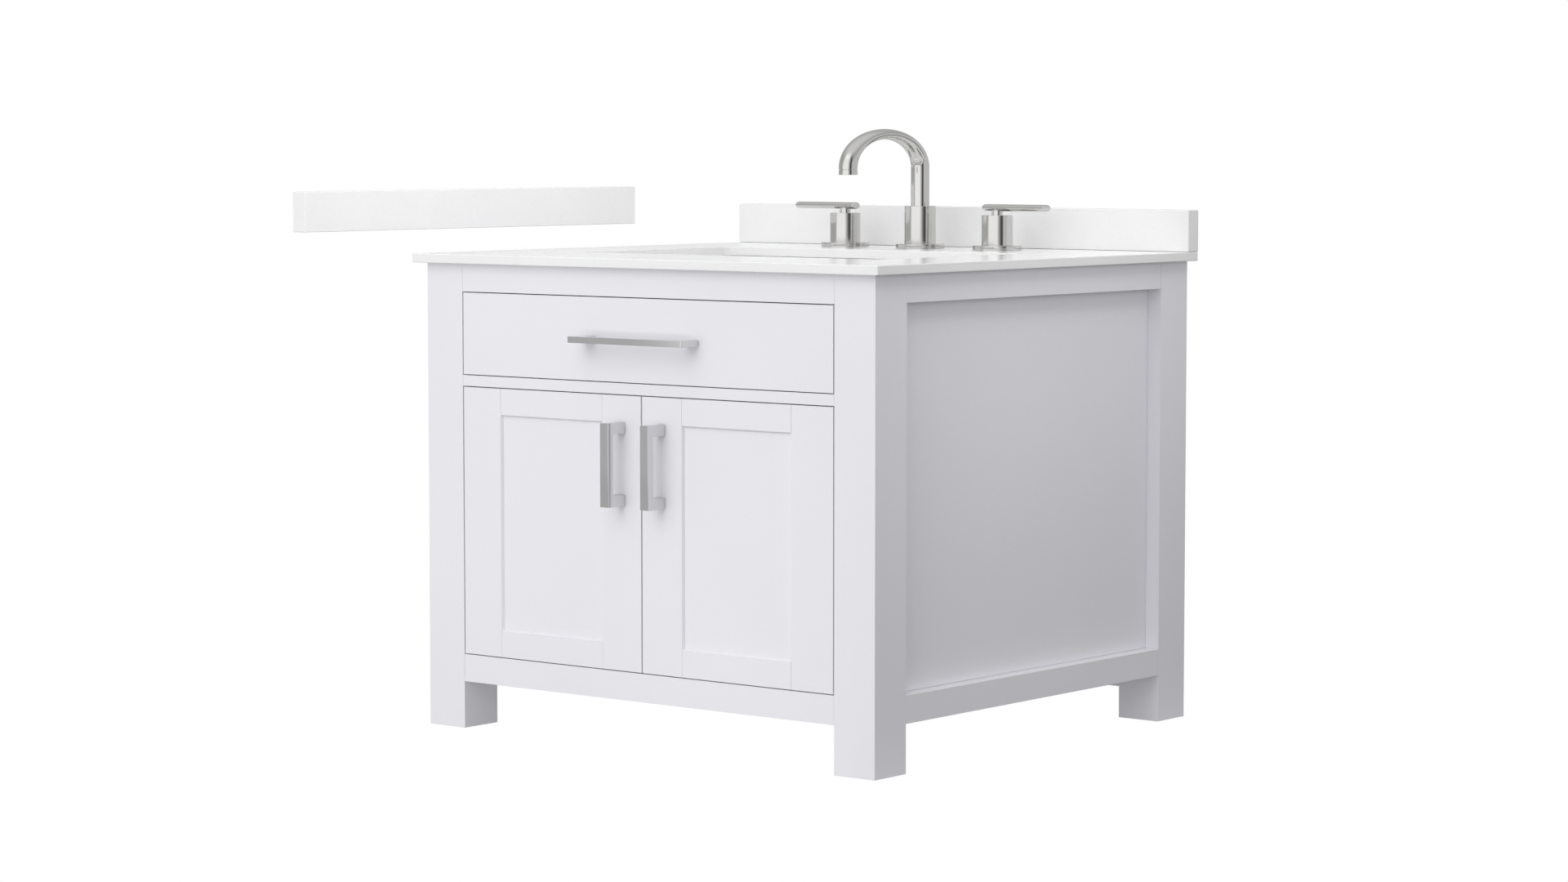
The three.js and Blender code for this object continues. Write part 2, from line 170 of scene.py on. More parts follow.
# Name, place, target, size, power in watts and spread in degrees.
LAMPS = (
    ("front_key", (0.4, -4.0, 2.7), (0.15, -0.3, 0.5), (2.6, 2.6), 28.5, 180.0),
    ("low_front", (0.6, -3.0, 0.12), (0.0, -0.3, 0.1), (3.0, 0.24), 8.5, 180.0),
    ("right_high", (1.6, 0.2, 2.2), (0.48, 0.0, 0.84), (0.9, 0.6), 0.4, 44.0),
    ("right_level", (1.7, 0.0, 0.95), (0.46, 0.0, 0.75), (0.8, 0.5), 0.45, 75.0),
    ("overhead", (0.0, 0.0, 4.5), (0.0, 0.0, 0.0), (1.6, 1.6), 3.8, 60.0),
)


def white_to_camera(tree, kind, lit, target):
    """The camera sees plain white there, and every other ray meets what is lit."""
    white = add_node(tree, kind, {"Color": WHITE}, {})
    path = add_node(tree, "LightPath", {}, {})
    links = {0: path.outputs["Is Camera Ray"], 1: lit.outputs[0], 2: white.outputs[0]}
    tree.links.new(add_node(tree, "MixShader", {}, links).outputs[0], target.inputs["Surface"])


def studio():
    """Soft surroundings that the camera itself sees as white, the lamps, and a fill for the splash."""
    scene = bpy.context.scene
    scene.view_settings.view_transform = "Standard"
    world = bpy.data.worlds.new("studio")
    scene.world = world
    world.use_nodes = True
    tree = world.node_tree
    background = tree.nodes["Background"]
    tree.links.new(Sky(tree).brightness(), background.inputs["Strength"])
    background.inputs["Color"].default_value = WHITE
    white_to_camera(tree, "Background", background, tree.nodes["World Output"])
    for lamp in LAMPS:
        soft_light(*lamp)
    low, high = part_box("side_splash")
    fill = soft_light("splash_fill", (1.9, -0.6, 2.0), (low + high) / 2, (1.0, 1.0), 29.0)
    splash_alone = bpy.data.collections.new("lit_by_splash_fill")
    splash_alone.objects.link(frame["nodes"]["side_splash"])
    fill.light_linking.receiver_collection = splash_alone


FLOOR_SIZE = 7.0
FLOOR_DROP = 0.0005
FLOOR_FADE = (0.35, 0.65)  # where it darkens in X, from under the cabinet to beyond its right side
FLOOR_PARTS = (("BsdfDiffuse", "Color", 0.3, 0.12), ("Emission", "Strength", 0.24, 0.04))


def floor():
    """A floor that the camera sees as white, and that lights the object from below."""
    bpy.ops.mesh.primitive_plane_add(size=FLOOR_SIZE, location=(0.0, 0.0, -FLOOR_DROP))
    plane = bpy.context.object
    plane.name = "studio_floor"
    material = bpy.data.materials.new("studio_floor")
    material.use_nodes = True
    tree = material.node_tree
    tree.nodes.clear()
    place = add_node(tree, "TexCoord", {}, {})
    split = add_node(tree, "SeparateXYZ", {}, {0: place.outputs["Object"]})
    parts = []
    for kind, socket, inner, outer in FLOOR_PARTS:
        ends = {"From Min": FLOOR_FADE[0], "From Max": FLOOR_FADE[1], "To Min": inner, "To Max": outer}
        fade = add_node(tree, "MapRange", ends, {"Value": split.outputs["X"]})
        parts.append(add_node(tree, kind, {}, {socket: fade.outputs[0]}).outputs[0])
    lit = add_node(tree, "AddShader", {}, {0: parts[0], 1: parts[1]})
    white_to_camera(tree, "Emission", lit, add_node(tree, "OutputMaterial", {}, {}))
    plane.data.materials.append(material)


# ---- Materials -------------------------------------------------------------------------------

class Finish:
    """One procedural material: a Principled shader and short calls for what drives it."""

    def __init__(self, name, metallic=0.0, coat=0.0, specular=0.5):
        self.material = bpy.data.materials.new(name)
        self.material.use_nodes = True
        self.tree = self.material.node_tree
        self.shader = self.tree.nodes["Principled BSDF"]
        self.shader.inputs["Metallic"].default_value = metallic
        self.shader.inputs["Specular IOR Level"].default_value = specular
        if coat:
            self.shader.inputs["Coat Weight"].default_value = coat
            self.shader.inputs["Coat Roughness"].default_value = 0.04
        self.place = self.tree.nodes.new("ShaderNodeTexCoord").outputs["Object"]

    def stretched(self, scale):
        """The place, scaled by a different amount along each axis."""
        return add_node(self.tree, "Mapping", {"Scale": scale}, {"Vector": self.place}).outputs[0]

    def noise(self, scale, detail=2.0, roughness=0.5, place=None, distortion=0.0):
        values = {"Scale": scale, "Detail": detail, "Roughness": roughness, "Distortion": distortion}
        return add_node(self.tree, "TexNoise", values, {"Vector": place or self.place}).outputs["Fac"]

    def cells(self, scale):
        """A random colour for each small cell."""
        node = add_node(self.tree, "TexVoronoi", {"Scale": scale}, {"Vector": self.place})
        return node.outputs["Color"]

    def ramp(self, value, low, high, stops=(0.3, 0.7)):
        """A colour that goes from low to high as value crosses the stops."""
        node = self.tree.nodes.new("ShaderNodeValToRGB")
        for element, stop, color in zip(node.color_ramp.elements, stops, (low, high)):
            element.position = stop
            element.color = (*color, 1.0)
        self.tree.links.new(value, node.inputs["Fac"])
        return node.outputs["Color"]

    def multiply(self, first, second):
        node = self.tree.nodes.new("ShaderNodeMix")
        node.data_type = "RGBA"
        node.blend_type = "MULTIPLY"
        node.inputs["Factor"].default_value = 1.0
        self.tree.links.new(first, node.inputs["A"])
        self.tree.links.new(second, node.inputs["B"])
        return node.outputs["Result"]

    def color(self, value):
        self.tree.links.new(value, self.shader.inputs["Base Color"])

    def roughness(self, value, low, high):
        node = add_node(self.tree, "MapRange", {"To Min": low, "To Max": high}, {"Value": value})
        self.tree.links.new(node.outputs[0], self.shader.inputs["Roughness"])

    def bump(self, value, strength, height):
        node = add_node(self.tree, "Bump", {"Strength": strength, "Distance": height}, {"Height": value})
        self.tree.links.new(node.outputs[0], self.shader.inputs["Normal"])


def paint():
    """Sprayed satin lacquer: a cool white with a fine orange-peel surface."""
    made = Finish("paint", specular=0.35)
    tint = made.ramp(made.noise(2.4, 3.0), (0.826, 0.818, 0.862), (0.848, 0.841, 0.882))
    specks = made.ramp(made.noise(420.0, 1.0), (0.985, 0.985, 0.987), (1.0, 1.0, 1.0), (0.34, 0.46))
    made.color(made.multiply(tint, specks))
    made.roughness(made.noise(9.0, 3.0), 0.36, 0.47)
    made.bump(made.noise(650.0, 2.0), 0.10, 0.00012)
    return made.material


def stone():
    """Polished engineered quartz: white, with faint clouds and fine pale grains."""
    made = Finish("stone", specular=0.45)
    clouds = made.ramp(made.noise(5.0, 4.0, distortion=0.6), (0.862, 0.862, 0.866), (0.892, 0.892, 0.895))
    grains = made.ramp(made.cells(520.0), (0.965, 0.965, 0.968), (1.0, 1.0, 1.0), (0.12, 0.3))
    sparks = made.ramp(made.noise(240.0, 3.0, 0.7), (0.95, 0.95, 0.955), (1.0, 1.0, 1.0), (0.30, 0.38))
    made.color(made.multiply(made.multiply(clouds, grains), sparks))
    made.roughness(made.noise(60.0, 2.0), 0.13, 0.20)
    made.bump(made.noise(35.0, 1.0), 0.03, 0.0002)
    return made.material


def ceramic():
    """Vitreous china: a deep clear glaze over white, very slightly wavy."""
    made = Finish("ceramic", coat=0.7)
    made.color(made.ramp(made.noise(7.0, 3.0), (0.868, 0.868, 0.862), (0.896, 0.896, 0.893)))
    made.roughness(made.noise(14.0, 2.0), 0.12, 0.2)
    made.bump(made.noise(22.0, 1.0), 0.04, 0.0006)
    return made.material


def birch(name, grain_axis):
    """Lacquered birch with its grain along one axis."""
    made = Finish(name, specular=0.4)
    across = [1.0, 1.0, 1.0]
    across[grain_axis] = 0.045
    place = made.stretched(across)
    flow = made.noise(38.0, 5.0, 0.6, place, 1.2)
    pores = made.noise(520.0, 2.0, 0.6, place)
    figure = made.ramp(flow, (0.56, 0.36, 0.19), (0.76, 0.56, 0.35), (0.36, 0.66))
    dark_pores = made.ramp(pores, (0.80, 0.74, 0.68), (1.0, 1.0, 1.0), (0.32, 0.46))
    made.color(made.multiply(figure, dark_pores))
    made.roughness(flow, 0.38, 0.55)
    made.bump(pores, 0.2, 0.0001)
    return made.material


def satin_nickel(name, brush_axis):
    """Satin nickel brushed along one axis."""
    made = Finish(name, metallic=1.0)
    along = [1.0, 1.0, 1.0]
    along[brush_axis] = 0.02
    strokes = made.noise(1400.0, 3.0, 0.6, made.stretched(along))
    made.color(made.ramp(strokes, (0.672, 0.672, 0.671), (0.690, 0.690, 0.689)))
    made.roughness(strokes, 0.09, 0.12)
    made.bump(strokes, 0.012, 0.00003)
    return made.material


def bright_nickel():
    """Nearly mirror-bright nickel with faint marks of handling."""
    made = Finish("bright_nickel", metallic=1.0)
    smudges = made.noise(26.0, 4.0, 0.6)
    made.color(made.ramp(smudges, (0.605, 0.600, 0.590), (0.645, 0.640, 0.630)))
    made.roughness(smudges, 0.04, 0.08)
    return made.material


def zinc():
    """Zinc-plated steel with a faint spangle."""
    made = Finish("zinc", metallic=1.0)
    spangle = made.cells(160.0)
    made.color(made.ramp(spangle, (0.50, 0.51, 0.53), (0.66, 0.67, 0.69), (0.2, 0.8)))
    made.roughness(made.noise(90.0, 3.0), 0.28, 0.46)
    made.bump(made.noise(300.0, 2.0), 0.05, 0.00008)
    return made.material


MATERIALS = {
    "paint": paint(),
    "stone": stone(),
    "ceramic": ceramic(),
    "birch_x": birch("birch_x", 0),
    "birch_y": birch("birch_y", 1),
    "satin_nickel_x": satin_nickel("satin_nickel_x", 0),
    "satin_nickel_z": satin_nickel("satin_nickel_z", 2),
    "bright_nickel": bright_nickel(),
    "zinc": zinc(),
}


# ---- Mesh helpers ----------------------------------------------------------------------------

def bridge(bm, first, second):
    """Quads between two closed loops of the same number of vertices."""
    count = len(first)
    for i in range(count):
        j = (i + 1) % count
        bm.faces.new((first[i], first[j], second[j], second[i]))


def loft(bm, loops, ends=True):
    """One shell through closed loops of points, with flat ends."""
    rows = [[bm.verts.new(point) for point in loop] for loop in loops]
    for first, second in zip(rows, rows[1:]):
        bridge(bm, first, second)
    if ends:
        bm.faces.new(rows[0][::-1])
        bm.faces.new(rows[-1])
    return rows


AXIS_PLACE = {
    "x": lambda u, v, w: (w, u, v),
    "y": lambda u, v, w: (u, w, v),
    "z": lambda u, v, w: (u, v, w),
}


def prism(bm, outline, low, high, axis):
    """An outline in the two other axes, run along one axis from low to high."""
    place = AXIS_PLACE[axis]
    loft(bm, [[place(u, v, w) for u, v in outline] for w in (low, high)])


def block(bm, low, high):
    """A box between two corners, given in any order."""
    x, y, z = (sorted(pair) for pair in zip(low, high))
    prism(bm, [(x[0], y[0]), (x[1], y[0]), (x[1], y[1]), (x[0], y[1])], z[0], z[1], "z")


def eased(points, steps=4):
    """Points of (u, v, ease) as (u, v), with each eased corner rounded off."""
    out = []
    for i, (u, v, ease) in enumerate(points):
        if not ease:
            out.append((u, v))
            continue
        here = Vector((u, v))
        before = here + (Vector(points[i - 1][:2]) - here).normalized() * ease
        after = here + (Vector(points[(i + 1) % len(points)][:2]) - here).normalized() * ease
        for k in range(steps + 1):
            t = k / steps
            point = before * (1 - t) ** 2 + here * (2 * t * (1 - t)) + after * t * t
            out.append((point.x, point.y))
    return out


def at(z, outline):
    """A flat outline as a loop at one height."""
    return [(u, v, z) for u, v in outline]


def plan_centre(node):
    low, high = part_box(node)
    return (low.x + high.x) / 2, (low.y + high.y) / 2


def turned(bm, profile, place, direction=(0, 0, 1), sides=64, closed=False):
    """A profile of (radius, height) turned about a line through place. It ends on the line or closes."""
    turn = Vector((0, 0, 1)).rotation_difference(Vector(direction)).to_matrix()
    origin = Vector(place)
    rows = []
    for radius, height in profile:
        count = 1 if radius < 1e-7 else sides
        angles = [2 * math.pi * i / count for i in range(count)]
        ring = [Vector((radius * math.cos(a), radius * math.sin(a), height)) for a in angles]
        rows.append([bm.verts.new(origin + turn @ point) for point in ring])
    if closed:
        rows.append(rows[0])
    for first, second in zip(rows, rows[1:]):
        if len(first) > 1 and len(second) > 1:
            bridge(bm, first, second)
        elif len(first) != len(second):
            tip, loop = (first[0], second) if len(first) == 1 else (second[0], first)
            for i in range(sides):
                bm.faces.new((tip, loop[i], loop[(i + 1) % sides]))


def threads(radius, low, high):
    """Profile points for screw threads from low to high."""
    depth, pitch = 0.0007, 0.0016
    count = int((high - low) / pitch)
    points = []
    for i in range(count):
        start = low + i * pitch
        points += [(radius - depth, start), (radius, start + pitch * 0.5)]
    return points + [(radius - depth, low + count * pitch)]


CORNERS = ((1, 1, 0), (-1, 1, 1), (-1, -1, 2), (1, -1, 3))


def rounded_rect(half_x, half_y, radius, centre, per_corner=10):
    """Points round a rounded rectangle, anticlockwise from its +X side."""
    points = []
    for sx, sy, quarter in CORNERS:
        for step in range(per_corner + 1):
            angle = (quarter + step / per_corner) * math.pi / 2
            points.append((centre[0] + sx * (half_x - radius) + radius * math.cos(angle),
                           centre[1] + sy * (half_y - radius) + radius * math.sin(angle)))
    return points


def circle(radius, centre, count=44):
    angles = [2 * math.pi * i / count for i in range(count)]
    return [(centre[0] + radius * math.cos(a), centre[1] + radius * math.sin(a)) for a in angles]


def slab(bm, outer, holes, low, high, ease):
    """A level plate with holes and rounded edges. outer and each hole give their outline for an inset."""
    arc = [math.pi / 2 * k / 3 for k in range(4)]
    edge = [(ease * (1 - math.sin(a)), low + ease * (1 - math.cos(a))) for a in arc]
    edge += [(ease * (1 - math.cos(a)), high - ease * (1 - math.sin(a))) for a in arc]
    faces = {0: [], -1: []}
    for shape, way in [(outer, 1)] + [(hole, -1) for hole in holes]:
        loops = [at(z, shape(way * inset)) for inset, z in edge]
        rows = loft(bm, loops, ends=False)
        for end, edges in faces.items():
            loop = rows[end]
            edges += [bm.edges.get((loop[i], loop[i - 1])) for i in range(len(loop))]
    for edges in faces.values():
        bmesh.ops.triangle_fill(bm, use_beauty=True, edges=edges)


def piece(name, bm, body, material, replaces=(), ease=0.0):
    """Turns a bmesh into a piece that rides on a body, with its edges eased."""
    bmesh.ops.recalc_face_normals(bm, faces=bm.faces)
    mesh = bpy.data.meshes.new(name)
    bm.to_mesh(mesh)
    bm.free()
    mesh.shade_smooth()
    mesh.set_sharp_from_angle(angle=math.radians(34))
    made = bpy.data.objects.new(name, mesh)
    bpy.context.scene.collection.objects.link(made)
    mesh.materials.append(MATERIALS[material])
    soften(made, ease)
    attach(made, body)
    if replaces:
        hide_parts(*replaces)


def soften(made, ease):
    """Rounds an object's sharp edges and keeps its flat faces flat to the eye."""
    if ease:
        bevel = made.modifiers.new("eased_edges", "BEVEL")
        bevel.width = ease
        bevel.segments = 2
        bevel.limit_method = "ANGLE"
        bevel.angle_limit = math.radians(34)
        bevel.harden_normals = True
    else:
        made.modifiers.new("even_faces", "WEIGHTED_NORMAL").keep_sharp = True


# ---- Boards that keep their CAD shape --------------------------------------------------------

def carried_over(node, material, ease):
    """Gives a CAD node its finish and eases its edges."""
    kept = frame["nodes"][node]
    if "custom_normal" in kept.data.attributes:
        kept.data.attributes.remove(kept.data.attributes["custom_normal"])
    kept.data.shade_smooth()
    kept.data.materials.clear()
    kept.data.materials.append(MATERIALS[material])
    weld = kept.modifiers.new("weld", "WELD")
    weld.merge_threshold = 1e-5
    soften(kept, ease)


def boards():
    crosswise = ("drawer_bottom", "drawer_back")
    for entry in frame["record"]["subparts"]:
        node, slot = entry["node"], entry["material_slot"]
        if slot == "birch":
            carried_over(node, "birch_x" if node in crosswise else "birch_y", 0.0008)
        elif slot == "zinc":
            carried_over(node, "zinc", 0.0003)
        elif slot in MATERIALS:
            carried_over(node, slot, 0.0012 if slot == "stone" else BOARD_EASE)


# ---- Doors -----------------------------------------------------------------------------------

BEAD = 0.0027  # width of the slope from a door's frame down to its panel
BEAD_DROP = 0.0002  # how far the slope's outer edge lies behind the face of the frame
HINGE_LEVELS = (0.190, 0.486)
CUP = {"radius": 0.0175, "depth": 0.0115, "inset": 0.0225}


def door_beads():
    """The sloped edge round each door panel, mitred at its corners."""
    for side, _ in SIDES:
        low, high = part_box(f"{side}_door_panel")
        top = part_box(f"{side}_door_top_rail")[0].y + BEAD_DROP
        panel = low.y
        bm = bmesh.new()
        inner_x = (low.x - SEAM, high.x + SEAM)
        inner_z = (low.z - SEAM, high.z + SEAM)
        profile = ((0.0, top), (BEAD * 0.12, top + BEAD_DROP / 2), (BEAD, panel), (0.0, panel))
        rows = []
        for sx, sz in ((0, 0), (1, 0), (1, 1), (0, 1)):
            inward_x, inward_z = (1 - 2 * sx), (1 - 2 * sz)
            x, z = inner_x[sx], inner_z[sz]
            rows.append([bm.verts.new((x + inward_x * d, y, z + inward_z * d)) for d, y in profile])
        for i in range(4):
            bridge(bm, rows[i], rows[(i + 1) % 4])
        piece(f"{side}_door_bead", bm, f"{side}_door", "paint", ease=0.0002)


def bored_stiles():
    """Hinge stiles with the two round pockets that take the hinge cups."""
    for side, s in SIDES:
        node = f"{side}_door_hinge_stile"
        low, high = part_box(node)
        axis_x = (low.x if s < 0 else high.x) - s * CUP["inset"]
        bore_floor = high.y - CUP["depth"]
        e = BOARD_EASE
        bm = bmesh.new()

        def outline(inset):
            return [(low.x + inset, low.z + inset), (high.x - inset, low.z + inset),
                    (high.x - inset, high.z - inset), (low.x + inset, high.z - inset)]

        def loop(points, y):
            return [bm.verts.new((u, y, v)) for u, v in points]

        edge = [(e, 0.0), (e * 0.3, e * 0.3), (0.0, e)]
        rows = [loop(outline(inset), low.y + rise) for inset, rise in edge]
        rows += [loop(outline(inset), high.y - rise) for inset, rise in reversed(edge)]
        for first, second in zip(rows, rows[1:]):
            bridge(bm, first, second)
        bm.faces.new(rows[0])
        edges = [bm.edges.get((rows[-1][i], rows[-1][i - 1])) for i in range(4)]
        for level in HINGE_LEVELS:
            rim = circle(CUP["radius"], (axis_x, level))
            mouth, base = loop(rim, high.y), loop(rim, bore_floor)
            bridge(bm, mouth, base)
            bm.faces.new(base)
            edges += [bm.edges.get((mouth[i], mouth[i - 1])) for i in range(len(mouth))]
        bmesh.ops.triangle_fill(bm, use_beauty=True, edges=edges)
        piece(node + "_bored", bm, f"{side}_door", "paint", replaces=[node])


def screw(bm, place, direction, radius=0.0034):
    """A pan head with a socket in it."""
    profile = [(0.0, radius * 0.12), (radius * 0.34, radius * 0.12), (radius * 0.42, radius * 0.5),
               (radius * 0.72, radius * 0.44), (radius * 0.95, radius * 0.24), (radius, 0.0), (0.0, 0.0)]
    turned(bm, profile, place, direction, sides=20)


def hinge_cups():
    """Pressed cups with their screwed flanges, let into the backs of the doors."""
    for side, s in SIDES:
        low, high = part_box(f"{side}_door_hinge_stile")
        axis_x = (low.x if s < 0 else high.x) - s * CUP["inset"]
        back = high.y
        for label, level in zip(("lower", "upper"), HINGE_LEVELS):
            bm = bmesh.new()
            r = CUP["radius"] - 0.0002
            rim, lip = r + 0.0016, 0.0011
            inside, outside = 0.0018 - CUP["depth"], 0.0008 - CUP["depth"]
            bowl = eased([
                (rim, 0.0, 0), (rim, lip, 0.0004), (r - 0.0012, lip, 0.0008),
                (r - 0.0022, inside + 0.0002, 0.0015), (0.0, inside, 0),
            ])
            bowl += [(0.0, outside), (r - 0.0009, outside), (r, 0.0), (rim, 0.0)]
            turned(bm, bowl, (axis_x, back, level), (0, 1, 0), sides=44)
            for way in (-1, 1):
                root, tip, wide, narrow = level + way * 0.0165, level + way * 0.0292, 0.008, 0.0062
                ear = eased([(axis_x - wide, root, 0), (axis_x + wide, root, 0),
                             (axis_x + narrow, tip, 0.004), (axis_x - narrow, tip, 0.004)])
                prism(bm, ear, back + 0.00005, back + lip, "y")
                screw(bm, (axis_x, back + lip, level + way * 0.0232), (0, 1, 0))
            piece(f"{side}_hinge_cup_{label}", bm, f"{side}_door", "zinc", ease=0.00015)


def hinge_plates():
    """Mounting plates and screws under the hinge arms, on the inner faces of the posts."""
    for side, s in SIDES:
        for label in ("lower", "upper"):
            low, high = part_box(f"{side}_hinge_arm_{label}")
            post = max(abs(low.x), abs(high.x)) * s
            middle = (low.z + high.z) / 2
            rear = high.y
            plate_face, arm_face = post - s * 0.0022, post - s * 0.008
            bm = bmesh.new()
            for way in (-1, 1):
                root, tip = middle + way * 0.0092, middle + way * 0.0245
                wing = eased([(rear - 0.030, root, 0), (rear - 0.006, root, 0),
                              (rear - 0.009, tip, 0.004), (rear - 0.027, tip, 0.004)])
                prism(bm, wing, post, plate_face, "x")
                screw(bm, (plate_face, rear - 0.018, middle + way * 0.017), (-s, 0, 0), 0.004)
            screw(bm, (arm_face, rear - 0.010, middle), (-s, 0, 0), 0.0046)
            screw(bm, (arm_face, rear - 0.030, middle), (-s, 0, 0), 0.0036)
            piece(f"{side}_hinge_plate_{label}", bm, "cabinet", "zinc", ease=0.0002)


def door_stops():
    """Small angle plates behind the middle rail, each with a round buffer that its door shuts against."""
    low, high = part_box("front_mid_rail")
    near, far = high.y + 0.0002, high.y + 0.0018
    reach = high.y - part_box("left_door_top_rail")[1].y - 0.0001
    half, radius = 0.014, 0.0052
    for side, s in SIDES:
        x = s * 0.075
        bm = bmesh.new()
        plate = eased([(x - half, low.z - 0.020, 0.003), (x + half, low.z - 0.020, 0.003),
                       (x + half, low.z + 0.014, 0.003), (x - half, low.z + 0.014, 0.003)])
        prism(bm, plate, near, far, "y")
        for dx in (-0.008, 0.008):
            screw(bm, (x + dx, far, low.z + 0.008), (0, 1, 0))
        buffer = eased([(0.0, 0.0, 0), (radius, 0.0, 0), (radius, reach, 0.0004), (0.0, reach, 0)])
        turned(bm, buffer, (x, near, low.z - 0.011), (0, -1, 0), sides=28)
        piece(f"{side}_door_stop", bm, "cabinet", "zinc", ease=0.0002)


# ---- Pulls -----------------------------------------------------------------------------------

PULL_BAR = 0.013  # depth of the bar in front of the feet
PULL_CORNER = 0.0016
FOOT_CORNER = 0.0022
DOOR_FOOT, DRAWER_FOOT = 0.018, 0.022  # lengths of the feet along the bar


def pull_outline(low, high, face, foot):
    """A bar on two feet as (along, out) points; the feet are rounded where they meet the door."""
    root, reach = face
    inner = reach - PULL_BAR
    feet = [(low, root), (low + foot, root), (low + foot, inner), (high - foot, inner),
            (high - foot, root), (high, root)]
    points = [(u, v, FOOT_CORNER) for u, v in feet]
    return eased(points + [(high, reach, PULL_CORNER), (low, reach, PULL_CORNER)], steps=5)


def pulls():
    for side, _ in SIDES:
        node = f"{side}_door_pull"
        low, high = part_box(node)
        outline = [(-v, u) for u, v in pull_outline(low.z, high.z, (-high.y, -low.y), DOOR_FOOT)]
        bm = bmesh.new()
        prism(bm, outline, low.x, high.x, "x")
        piece(node + "_bar", bm, f"{side}_door", "satin_nickel_z", replaces=[node], ease=0.0005)
    low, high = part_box("drawer_pull")
    outline = [(u, -v) for u, v in pull_outline(low.x, high.x, (-high.y, -low.y), DRAWER_FOOT)]
    bm = bmesh.new()
    prism(bm, outline, low.z, high.z, "z")
    piece("drawer_pull_bar", bm, "drawer", "satin_nickel_x", replaces=["drawer_pull"], ease=0.0005)


# ---- Drawer ----------------------------------------------------------------------------------

def drawer_fixings():
    """Corner brackets behind the drawer front and the backs of the pull's screws."""
    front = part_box("drawer_front")[1].y
    near = front + SEAM
    long, thick, tall = 0.022, 0.0016, 0.007
    for side, s in SIDES:
        low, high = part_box(f"drawer_side_{side}")
        wall = high.x if s < 0 else low.x
        end_x, thick_x = wall - s * long, wall - s * thick
        bm = bmesh.new()
        for level in (low.z + 0.022, high.z - 0.016):
            corner = [(wall, near), (end_x, near), (end_x, near + thick), (thick_x, near + thick),
                      (thick_x, front + long), (wall, front + long)]
            prism(bm, corner, level - tall, level + tall, "z")
            screw(bm, (wall - s * 0.014, near + thick, level), (0, 1, 0))
            screw(bm, (thick_x, front + 0.014, level), (-s, 0, 0))
        piece(f"drawer_bracket_{side}", bm, "drawer", "zinc", ease=0.0002)
    low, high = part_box("drawer_pull")
    level, radius, thick = 0.63, 0.0075, 0.001
    washer = eased([(0, 0, 0), (radius, 0, 0), (radius, thick, 0.0004), (0, thick, 0)])
    bm = bmesh.new()
    for x in (low.x + DRAWER_FOOT / 2, high.x - DRAWER_FOOT / 2):
        turned(bm, washer, (x, near, level), (0, 1, 0), sides=28)
        screw(bm, (x, near + thick, level), (0, 1, 0), 0.0042)
    piece("drawer_pull_screws", bm, "drawer", "zinc", ease=0.0002)


def ball_cages():
    """Rows of bearing balls in their cages, between the runner members."""
    wall = 0.0012
    count, pitch = 12, 0.021
    strip_half, strip_thick, strip_past = 0.0016, 0.0004, 0.01
    for side, s in SIDES:
        outer, middle, inner = (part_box(f"{member}_runner_{side}") for member in ("outer", "middle", "inner"))
        for label, big, small in (("outer", outer, middle), ("inner", middle, inner)):
            gap_high = big[1].z - wall
            gap_low = small[1].z
            centre = (big[0].z + big[1].z) / 2
            radius = (gap_high - gap_low) / 2 - 0.00015
            turns = [math.pi * k / 8 for k in range(9)]
            ball = [(radius * math.sin(a), -radius * math.cos(a)) for a in turns]
            x = s * (max(abs(small[0].x), abs(small[1].x)) - 0.0025)
            start = big[0].y + 0.06
            end = start + (count - 1) * pitch
            bm = bmesh.new()
            for way in (-1, 1):
                z = centre + way * ((gap_high + gap_low) / 2 - centre)
                for i in range(count):
                    turned(bm, ball, (x, start + i * pitch, z), sides=14)
                block(bm, (x - strip_half, start - strip_past, z - strip_thick),
                      (x + strip_half, end + strip_past, z + strip_thick))
            piece(f"ball_cage_{label}_{side}", bm, "runner_middle", "zinc")


# ---- Stone top, basin and drain --------------------------------------------------------------

CUTOUT = {"half_x": 0.308, "half_y": 0.191, "y": -0.020, "corner": 0.022}
DECK_HOLE = 0.0175
STONE_EASE = 0.0014
FAUCET_BODIES = ("hot_handle_body", "spout_body", "cold_handle_body")
BASIN_WALL = 0.008
BASIN_LIP = {"wide": 0.025, "thick": 0.008}


def countertop():
    """The slab with its basin cut-out and three faucet holes."""
    low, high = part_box("countertop")

    def outer(inset):
        half_x, half_y = (high.x - low.x) / 2 - inset, (high.y - low.y) / 2 - inset
        return rounded_rect(half_x, half_y, 0.0022 - inset, (0.0, (low.y + high.y) / 2), per_corner=4)

    def cutout(inset):
        return rounded_rect(CUTOUT["half_x"] - inset, CUTOUT["half_y"] - inset, CUTOUT["corner"] - inset,
                            (0.0, CUTOUT["y"]))

    def hole(centre):
        return lambda inset: circle(DECK_HOLE - inset, centre)

    holes = [cutout]
    for node in FAUCET_BODIES:
        holes.append(hole(plan_centre(node)))
    bm = bmesh.new()
    slab(bm, outer, holes, low.z, high.z, STONE_EASE)
    piece("stone_top", bm, "cabinet", "stone", replaces=["countertop"])


